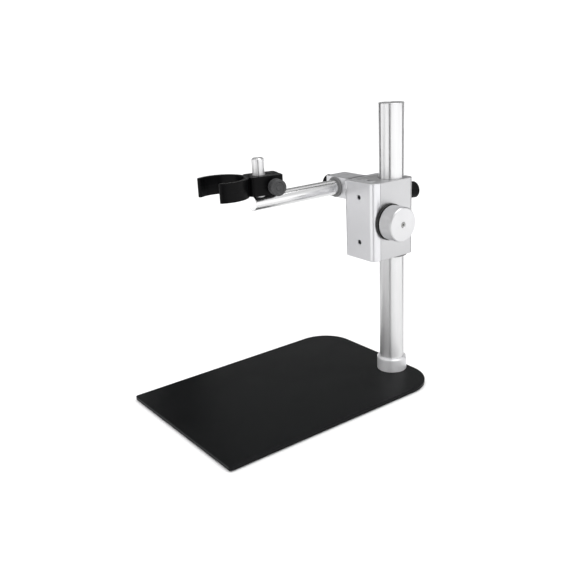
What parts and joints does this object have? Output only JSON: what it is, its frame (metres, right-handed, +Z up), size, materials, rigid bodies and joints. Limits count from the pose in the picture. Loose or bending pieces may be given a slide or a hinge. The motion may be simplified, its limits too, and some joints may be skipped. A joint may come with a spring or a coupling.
{
  "type": "microscope boom stand",
  "caption": "Bench boom stand with a flat base plate, upright post, rack focus block with side knob, horizontal rod and an open clip that holds a handheld digital microscope.",
  "frame": {"origin": "on the resting plane, on the axis of the upright post, at the centre of the foot under the post", "axes": "+Z up along the post, -Y towards the front where the boom rod points, +X towards the focus knob"},
  "size_m": [0.1795, 0.2732, 0.2825],
  "materials": {
    "black_steel": "matte black powder coat",
    "polished_steel": "polished stainless steel",
    "satin_aluminium": "satin anodised aluminium",
    "turned_aluminium": "fine turned aluminium",
    "black_plastic": "moulded black nylon",
    "knurled_black": "knurled black thumb knobs",
    "grey_plastic": "grey acetal liner of the boom rod",
    "bearing_plastic": "black acetal liners",
    "rubber": "soft feet",
    "zinc_steel": "plain steel fasteners and shaft",
    "black_screw": "blackened steel screws",
    "brass": "machined brass"
  },
  "bodies": {
    "stand": {"base_plate": "black_steel", "rubber_feet": "rubber", "base_screw": "zinc_steel", "post_tube": "polished_steel", "post_foot_plug": "zinc_steel", "post_top_cap": "polished_steel", "post_collar": "satin_aluminium", "collar_screw": "black_screw"},
    "post_sleeve": {"post_liner": "bearing_plastic"},
    "housing": {"focus_housing": "satin_aluminium", "shaft_bushes": "brass", "lock_insert": "brass"},
    "post_lock": {"post_lock_knob": "knurled_black", "post_lock_stud": "zinc_steel"},
    "focus_drive": {"pinion_shaft": "zinc_steel", "pinion_gear": "brass", "focus_knob": "turned_aluminium", "knob_ring": "bearing_plastic", "knob_screw": "zinc_steel"},
    "carriage": {"focus_carriage": "satin_aluminium", "focus_rack": "brass", "rack_screws": "black_screw"},
    "arm_lock": {"arm_lock_knob": "knurled_black", "arm_lock_stud": "zinc_steel"},
    "arm_sleeve": {"arm_liner": "grey_plastic"},
    "arm": {"arm_rod": "polished_steel", "holder_pin": "polished_steel"},
    "pin_sleeve": {"pin_bush": "bearing_plastic"},
    "holder": {"holder_clip": "black_plastic", "clamp_nut": "zinc_steel"},
    "clip_clamp": {"clamp_knob": "knurled_black", "clamp_stud": "zinc_steel"}
  },
  "joints": [
    {"name": "height_slide", "type": "slide", "parent": "stand", "child": "post_sleeve", "axis": [0, 0, 1], "range_m": [-0.1, 0.06]},
    {"name": "post_swivel", "type": "hinge", "parent": "post_sleeve", "child": "housing", "pos_m": [0, 0, 0.172], "axis": [0, 0, 1], "continuous": true},
    {"name": "post_lock_turn", "type": "hinge", "parent": "housing", "child": "post_lock", "pos_m": [0, 0.026, 0.1933], "axis": [0, 1, 0], "range_deg": [0, 360]},
    {"name": "focus_slide", "type": "slide", "parent": "housing", "child": "carriage", "axis": [0, 0, 1], "range_m": [-0.012, 0.012]},
    {"name": "focus_turn", "type": "hinge", "parent": "housing", "child": "focus_drive", "pos_m": [0, -0.0195, 0.1715], "axis": [1, 0, 0], "range_deg": [-165, 165]},
    {"name": "arm_lock_turn", "type": "hinge", "parent": "carriage", "child": "arm_lock", "pos_m": [-0.066, -0.0215, 0.2], "axis": [-1, 0, 0], "range_deg": [0, 360]},
    {"name": "arm_roll", "type": "hinge", "parent": "carriage", "child": "arm_sleeve", "pos_m": [-0.046, -0.0215, 0.2], "axis": [0, 1, 0], "continuous": true},
    {"name": "arm_slide", "type": "slide", "parent": "arm_sleeve", "child": "arm", "axis": [0, -1, 0], "range_m": [-0.06, 0.008]},
    {"name": "holder_height", "type": "slide", "parent": "arm", "child": "pin_sleeve", "axis": [0, 0, 1], "range_m": [0, 0.012]},
    {"name": "holder_swivel", "type": "hinge", "parent": "pin_sleeve", "child": "holder", "pos_m": [-0.046, -0.1271, 0.2168], "axis": [0, 0, 1], "continuous": true},
    {"name": "clip_clamp_turn", "type": "hinge", "parent": "holder", "child": "clip_clamp", "pos_m": [-0.0432, -0.11636, 0.2156], "axis": [0.9677, -0.2521, 0], "range_deg": [0, 360]}
  ],
  "couplings": [
    {"joint": "focus_turn", "follows": "focus_slide", "rad_per_m": -238.1}
  ]
}
